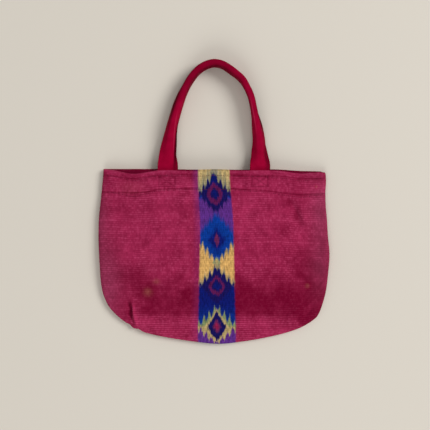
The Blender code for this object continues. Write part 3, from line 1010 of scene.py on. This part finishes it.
# %% Toothed diamond as a node group
TOOTH = 0.0036
DIAMOND_INPUTS = (
    ("Across", 0.0), ("Up", 0.0), ("Centre", 0.0), ("Half Width", 0.03), ("Above", 0.03), ("Below", 0.03),
    ("Reach Above", 0.0), ("Reach Below", 0.0), ("Round", 1.0), ("Soft", 0.05),
)
diamond, diamond_in, diamond_out = new_group(
    "toothed diamond",
    [(name, "NodeSocketFloat", value) for name, value in DIAMOND_INPUTS],
    (("Mask", "NodeSocketFloat"),),
)
ports = diamond_in.outputs
rise = sum_node(diamond, "SUBTRACT", ports["Up"], ports["Centre"])
is_above = sum_node(diamond, "GREATER_THAN", rise, 0.0)
half_height = mix_values(diamond, is_above, ports["Below"], ports["Above"])
reach = mix_values(diamond, is_above, ports["Reach Below"], ports["Reach Above"])
tooth = sum_node(diamond, "PINGPONG", ports["Across"], TOOTH)
tooth = sum_node(diamond, "POWER", sum_node(diamond, "DIVIDE", tooth, TOOTH), 1.5)
upright = sum_node(diamond, "SUBTRACT", sum_node(diamond, "ABSOLUTE", rise), scaled(diamond, tooth, reach))
upright = sum_node(diamond, "DIVIDE", upright, half_height)
sideways = sum_node(diamond, "DIVIDE", ports["Across"], ports["Half Width"])
distance = sum_node(diamond, "POWER", sum_node(diamond, "MAXIMUM", upright, 0.0), ports["Round"])
distance = sum_node(diamond, "ADD", distance, sum_node(diamond, "MINIMUM", upright, 0.0))
distance = sum_node(diamond, "ADD", distance, sum_node(diamond, "POWER", sideways, ports["Round"]))
edge_low = sum_node(diamond, "SUBTRACT", 1.0, ports["Soft"])
edge_high = sum_node(diamond, "ADD", 1.0, ports["Soft"])
diamond_mask = ramp(diamond, distance, edge_low, edge_high, 1.0, 0.0)
diamond.links.new(diamond_mask, diamond_out.inputs["Mask"])
print("toothed diamond:", len(diamond.nodes), "nodes")

# %% Table of the stripe's colours and shapes
YELLOW = (0.62, 0.36, 0.115, 1)
CREAM = (0.54, 0.39, 0.165, 1)
OLIVE = (0.215, 0.200, 0.125, 1)
LEAF = (0.200, 0.250, 0.110, 1)
STRAW = (0.420, 0.310, 0.130, 1)
TEAL = (0.045, 0.130, 0.180, 1)
NAVY = (0.007, 0.005, 0.085, 1)
INK = (0.003, 0.008, 0.130, 1)
BLUE = (0.002, 0.028, 0.225, 1)
ROYAL = (0.002, 0.036, 0.262, 1)
PURPLE = (0.098, 0.024, 0.205, 1)
DUSTY = (0.120, 0.016, 0.080, 1)
PLUM = (0.100, 0.008, 0.070, 1)
WINE = (0.270, 0.010, 0.070, 1)
TAN = (0.400, 0.300, 0.230, 1)

GROUNDS = named_rows(
    "below soft colour",
    (0.0180, 0.0040, BLUE),
    (0.0050, 0.0040, PURPLE),
    (-0.0577, 0.0060, YELLOW),
    (-0.1290, 0.0030, INK),
    (-0.1780, 0.0200, BLUE),
    (-0.1985, 0.0015, PURPLE),
)
SHAPES = named_rows(
    "centre half_width above below reach_above reach_below round soft colour",
    (0.0500, 0.0075, 0.0040, 0.0040, 0.0000, 0.0000, 1.5, 0.35, TAN),
    (0.0126, 0.0350, 0.0400, 0.0040, 0.0135, 0.0000, 1.0, 0.42, OLIVE),
    (0.0126, 0.0240, 0.0272, 0.0268, 0.0105, 0.0080, 1.0, 0.10, NAVY),
    (0.0180, 0.0060, 0.0280, 0.0080, 0.0000, 0.0000, 1.6, 0.20, INK),
    (0.0126, 0.0127, 0.0168, 0.0172, 0.0000, 0.0000, 1.5, 0.20, PLUM),
    (0.0126, 0.0074, 0.0092, 0.0094, 0.0000, 0.0000, 1.6, 0.25, NAVY),
    (0.0126, 0.0040, 0.0056, 0.0056, 0.0000, 0.0000, 1.6, 0.50, INK),
    (-0.0562, 0.0310, 0.0370, 0.0010, 0.0040, 0.0000, 1.1, 0.20, ROYAL),
    (-0.0562, 0.0300, 0.0010, 0.0345, 0.0000, 0.0110, 1.0, 0.16, TEAL),
    (-0.0562, 0.0276, 0.0010, 0.0322, 0.0000, 0.0095, 1.0, 0.08, ROYAL),
    (-0.0580, 0.0170, 0.0210, 0.0260, 0.0000, 0.0090, 1.0, 0.35, BLUE),
    (-0.0591, 0.0130, 0.0172, 0.0172, 0.0000, 0.0020, 1.0, 0.25, INK),
    (-0.0593, 0.0043, 0.0108, 0.0113, 0.0000, 0.0000, 1.1, 0.24, DUSTY),
    (-0.0940, 0.0066, 0.0066, 0.0066, 0.0000, 0.0000, 1.0, 0.35, LEAF),
    (-0.0940, 0.0034, 0.0040, 0.0040, 0.0000, 0.0000, 1.0, 0.35, STRAW),
    (-0.1324, 0.0270, 0.0310, 0.0030, 0.0110, 0.0000, 1.0, 0.24, OLIVE),
    (-0.1324, 0.0235, 0.0265, 0.0300, 0.0100, 0.0000, 1.0, 0.10, NAVY),
    (-0.1324, 0.0120, 0.0158, 0.0150, 0.0000, 0.0000, 1.4, 0.16, PLUM),
    (-0.1324, 0.0080, 0.0104, 0.0094, 0.0000, 0.0000, 1.5, 0.20, NAVY),
    (-0.1324, 0.0046, 0.0060, 0.0056, 0.0000, 0.0000, 1.6, 0.50, INK),
    (-0.1975, 0.0235, 0.0240, 0.0010, 0.0130, 0.0000, 1.0, 0.13, LEAF),
    (-0.1975, 0.0235, 0.0010, 0.0212, 0.0000, 0.0115, 1.0, 0.13, STRAW),
    (-0.1975, 0.0175, 0.0275, 0.0262, 0.0000, 0.0000, 1.0, 0.10, STRAW),
    (-0.1975, 0.0136, 0.0244, 0.0242, 0.0000, 0.0000, 1.0, 0.08, NAVY),
    (-0.1970, 0.0060, 0.0112, 0.0112, 0.0000, 0.0000, 1.1, 0.25, DUSTY),
    (-0.1970, 0.0032, 0.0066, 0.0066, 0.0000, 0.0000, 1.1, 0.35, WINE),
)
print(len(SHAPES), "shapes in the stripe")

# %% Draw the stripe in a node group
stripe, stripe_in, stripe_out = new_group(
    "patterned stripe",
    (("Map", "NodeSocketVector", None), ("Cloth Colour", "NodeSocketColor", (0.3, 0.02, 0.06, 1))),
    (("Color", "NodeSocketColor"), ("Mask", "NodeSocketFloat")),
)
place = add_node(stripe, "ShaderNodeSeparateXYZ", {0: stripe_in.outputs["Map"]})
drift = ramp(stripe, place.outputs["Y"], 0.05, -0.05, -0.0003, 0.0045)
from_middle = sum_node(stripe, "SUBTRACT", place.outputs["X"], drift)
widen_top = ramp(stripe, place.outputs["Y"], 0.05, -0.06, 1.06, 1.0)
widen_low = ramp(stripe, place.outputs["Y"], -0.05, -0.22, 1.0, 0.87)
from_middle = scaled(stripe, scaled(stripe, from_middle, widen_top), widen_low)
thread = sum_node(stripe, "FLOOR", sum_node(stripe, "DIVIDE", from_middle, 0.0010))
slip = add_node(stripe, "ShaderNodeTexWhiteNoise", {"W": thread}, noise_dimensions="1D").outputs[0]
bleed = streaky_noise(stripe, stripe_in.outputs["Map"], 700.0, 170.0)
up = lean(stripe, place.outputs["Y"], slip, 0.5, 0.0042)
up = lean(stripe, up, bleed, 0.5, 0.0090)
sway = lean(stripe, from_middle, bleed, 0.5, 0.0024)
aside = sum_node(stripe, "ABSOLUTE", sway)
colour = CREAM
for ground in GROUNDS:
    is_below = ramp(stripe, up, ground.below + ground.soft, ground.below - ground.soft)
    colour = mix_colours(stripe, is_below, colour, ground.colour)
for shape in SHAPES:
    mask = place_group(stripe, diamond, {
        "Across": aside, "Up": up, "Centre": shape.centre, "Half Width": shape.half_width,
        "Above": shape.above, "Below": shape.below, "Reach Above": shape.reach_above,
        "Reach Below": shape.reach_below, "Round": shape.round, "Soft": shape.soft,
    }).outputs["Mask"]
    colour = mix_colours(stripe, mask, colour, shape.colour)
ragged = times_plus(stripe, bleed, 0.0030, sum_node(stripe, "ABSOLUTE", from_middle))
in_stripe = ramp(stripe, ragged, 0.0262, 0.0292, 1.0, 0.0)
stray = ramp(stripe, from_middle, -0.0400, -0.0258, 0.0, 0.42)
stray = scaled(stripe, stray, ramp(stripe, up, -0.10, 0.04, 0.35, 1.0))
stray = scaled(stripe, stray, sum_node(stripe, "LESS_THAN", from_middle, 0.0))
beside = mix_colours(stripe, stray, stripe_in.outputs["Cloth Colour"], PURPLE)
stripe.links.new(mix_colours(stripe, in_stripe, beside, colour), stripe_out.inputs["Color"])
stripe.links.new(in_stripe, stripe_out.inputs["Mask"])
print("patterned stripe:", len(stripe.nodes), "nodes")

# %% [markdown]
# ## The cloth's finish
# The dye is a deep magenta. It has faded on the puffed middle, and painted shade darkens it towards the
# bottom.
# The ribs' crests are lighter than the grooves between them, partly from wear and partly as painted rib
# shading, clearly in some patches and along the bottom, and hardly in others. A fleck of noise drawn out
# along the warp breaks up the colour from thread to thread.

# %% Cloth material
CLOTH_DEEP = (0.169, 0.0006, 0.0225, 1)
CLOTH_FADED = (0.400, 0.023, 0.090, 1)
CLOTH_PALE = (0.640, 0.090, 0.220, 1)
CLOTH_SHADE = (0.100, 0.000, 0.010, 1)
STAIN = (0.300, 0.090, 0.058, 1)
PAINTED_SHEEN_PURPLE = (0.260, 0.055, 0.115, 1)

cloth_finish, tree, shader = new_finish("ribbed cloth")
cloth_map = add_node(tree, "ShaderNodeUVMap", {}, uv_map="cloth").outputs[0]
ribs = place_group(tree, weave, {"Map": cloth_map})
cloud = noise(tree, cloth_map, 30.0, 6.0)
streaks = streaky_noise(tree, cloth_map, 700.0, 120.0)
# The worn number carries painted shade as well as fading.
fade_and_painted_shade = lean(tree, kept_number(tree, "worn"), noise(tree, cloth_map, 55.0), 0.5, 1.1)
fade_and_painted_shade = lean(tree, fade_and_painted_shade, cloud, 0.5, 1.3)
fade_and_painted_shade = clamped(tree, times_plus(tree, fade_and_painted_shade, 0.8, 0.2))
dye_and_painted_light = mix_colours(tree, fade_and_painted_shade, CLOTH_DEEP, CLOTH_FADED)
stains_and_painted_sheen = kept_number(tree, "stains_and_painted_sheen")
dye_and_painted_light = mix_colours(tree, scaled(tree, stains_and_painted_sheen, scaled(tree, streaks, 1.6)), dye_and_painted_light, STAIN)
# A stain below 0 mixes in a painted purplish sheen.
dye_and_painted_light = mix_colours(tree, clamped(tree, scaled(tree, stains_and_painted_sheen, -1.0)), dye_and_painted_light, PAINTED_SHEEN_PURPLE)
down = add_node(tree, "ShaderNodeSeparateXYZ", {0: cloth_map}).outputs["Y"]
clear_ribs = ramp(tree, noise(tree, cloth_map, 22.0, 1.0), 0.40, 0.65, 0.08, 0.32)
clear_ribs = sum_node(tree, "ADD", clear_ribs, ramp(tree, down, -0.168, -0.190, 0.0, 0.26))
# The rib crest term paints the ribs' light and shade into the colour, on top of wear.
fleck_and_rib_shading = scaled(tree, sum_node(tree, "SUBTRACT", ribs.outputs["Crest"], 0.5), clear_ribs)
fleck_and_rib_shading = lean(tree, fleck_and_rib_shading, ribs.outputs["Shade"], 0.56, 1.1)
fleck_and_rib_shading = lean(tree, fleck_and_rib_shading, streaks, 0.5, 0.45)
pale = clamped(tree, scaled(tree, fleck_and_rib_shading, ramp(tree, fade_and_painted_shade, 0.1, 0.6, 0.25, 1.0)))
dye_and_painted_light = mix_colours(tree, pale, dye_and_painted_light, CLOTH_PALE)
# Painted shade in the grooves between the ribs, with darker threads.
dye_and_painted_light = mix_colours(tree, clamped(tree, scaled(tree, fleck_and_rib_shading, -1.0)), dye_and_painted_light, CLOTH_SHADE)
patterned = place_group(tree, stripe, {"Map": cloth_map, "Cloth Colour": dye_and_painted_light})
rib_light = times_plus(tree, ribs.outputs["Crest"], 0.12, 0.95)
rib_light = lean(tree, rib_light, ribs.outputs["Shade"], 0.56, 0.9)
rib_light = lean(tree, rib_light, streaks, 0.5, 1.7)
stripe_light = mix_values(tree, patterned.outputs["Mask"], 1.0, rib_light)
lit = add_node(
    tree, "ShaderNodeVectorMath", {0: patterned.outputs["Color"], "Scale": stripe_light}, operation="SCALE",
)
tree.links.new(lit.outputs[0], shader.inputs["Base Color"])
press_ribs(tree, shader, ribs.outputs["Height"], 0.30, 0.0006)
tree.links.new(ramp(tree, ribs.outputs["Shade"], 0.2, 1.0, 0.95, 0.80), shader.inputs["Roughness"])
shader.inputs["Specular IOR Level"].default_value = 0.05
shader.inputs["Sheen Weight"].default_value = 0.03
shader.inputs["Sheen Tint"].default_value = (1.0, 0.45, 0.6, 1.0)
for piece in (front_cloth, back_cloth):
    piece.data.materials.append(cloth_finish)
print("cloth finish on", front_cloth.name, "and", back_cloth.name)

# %% [markdown]
# ## Webbing and thread
# The handles are smooth, tightly woven webbing in a clear crimson. Its weave is a fine twill over cords that
# run its length. Painted shade darkens it where its edges stay folded down, and a painted highlight lightens
# the crease at the bend.

# %% Webbing material
WEBBING_DARK = (0.280, 0.0004, 0.023, 1)
WEBBING_LIGHT = (0.360, 0.0012, 0.033, 1)
WEBBING_PAINTED_SHADE = (0.060, 0.0000, 0.005, 1)
WEBBING_CREASE_HIGHLIGHT = (0.620, 0.050, 0.130, 1)
TWILL = 0.0016
CORD = 0.0013

webbing_finish, tree, shader = new_finish("webbing")
strap_map = add_node(tree, "ShaderNodeUVMap", {}, uv_map="cloth").outputs[0]
parts = add_node(tree, "ShaderNodeSeparateXYZ", {0: strap_map})
twill = sum_node(tree, "ADD", parts.outputs["X"], parts.outputs["Y"])
twill = sum_node(tree, "SINE", scaled(tree, twill, 2 * math.pi / TWILL))
cords = sum_node(tree, "SINE", scaled(tree, parts.outputs["X"], 2 * math.pi / CORD))
relief = times_plus(tree, cords, 0.5, twill)
cloud = noise(tree, strap_map, 60.0, 4.0)
tone = times_plus(tree, twill, 0.08, cloud)
dye_and_painted_light = mix_colours(tree, ramp(tree, tone, 0.25, 0.85), WEBBING_DARK, WEBBING_LIGHT)
worn = kept_number(tree, "worn")
# Painted shade on the folded-down edges.
dye_and_painted_light = mix_colours(tree, clamped(tree, scaled(tree, worn, -1.0)), dye_and_painted_light, WEBBING_PAINTED_SHADE)
# Painted highlight along the crease.
crease_at = ramp(tree, parts.outputs["Y"], 0.030, 0.130, 0.0088, 0.0024)
crease_highlight = sum_node(tree, "ABSOLUTE", sum_node(tree, "SUBTRACT", parts.outputs["X"], crease_at))
crease_highlight = scaled(tree, ramp(tree, crease_highlight, 0.0000, 0.0011, 0.60, 0.0), clamped(tree, worn))
dye_and_painted_light = mix_colours(tree, crease_highlight, dye_and_painted_light, WEBBING_CREASE_HIGHLIGHT)
tree.links.new(dye_and_painted_light, shader.inputs["Base Color"])
press_ribs(tree, shader, relief, 0.35, 0.0003)
tree.links.new(ramp(tree, cloud, 0.3, 0.7, 0.80, 0.65), shader.inputs["Roughness"])
shader.inputs["Specular IOR Level"].default_value = 0.02
for piece in (front_strap, back_strap):
    piece.data.materials.append(webbing_finish)

# %% Thread material
def thread_finish(name, dark, light):
    """A twisted thread of two shades."""
    finish, tree, shader = new_finish(name)
    coords = add_node(tree, "ShaderNodeTexCoord", {}).outputs["Object"]
    twist = add_node(tree, "ShaderNodeTexWave", {"Vector": coords, "Scale": 900.0, "Distortion": 1.0})
    tree.links.new(mix_colours(tree, twist.outputs[1], dark, light), shader.inputs["Base Color"])
    shader.inputs["Roughness"].default_value = 0.7
    shader.inputs["Specular IOR Level"].default_value = 0.15
    return finish


dark_thread = thread_finish("dark thread", (0.085, 0.0015, 0.014, 1), (0.150, 0.003, 0.024, 1))
light_thread = thread_finish("light thread", (0.160, 0.004, 0.030, 1), (0.300, 0.014, 0.065, 1))
hem_stitches.data.materials.append(dark_thread)
box_stitches.data.materials.append(light_thread)
print("webbing and thread ready")

# %% [markdown]
# ## Finish
# Each new piece stands in for its solid and moves with the bag. Its normals are smoothed, and the
# triangles of each piece that is shown are counted and printed.

# %% Hand the pieces over
for piece in (front_cloth, back_cloth, front_strap, back_strap):
    piece.data.shade_smooth()
stands_for = {
    "front_panel": front_cloth, "back_panel": back_cloth,
    "front_handle": front_strap, "back_handle": back_strap,
}
for node, piece in stands_for.items():
    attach(piece, "root")
    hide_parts(node)
for piece in (hem_stitches, box_stitches):
    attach(piece, "root")
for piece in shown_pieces():
    print(piece.name, sum(len(face.vertices) - 2 for face in piece.data.polygons), "triangles")
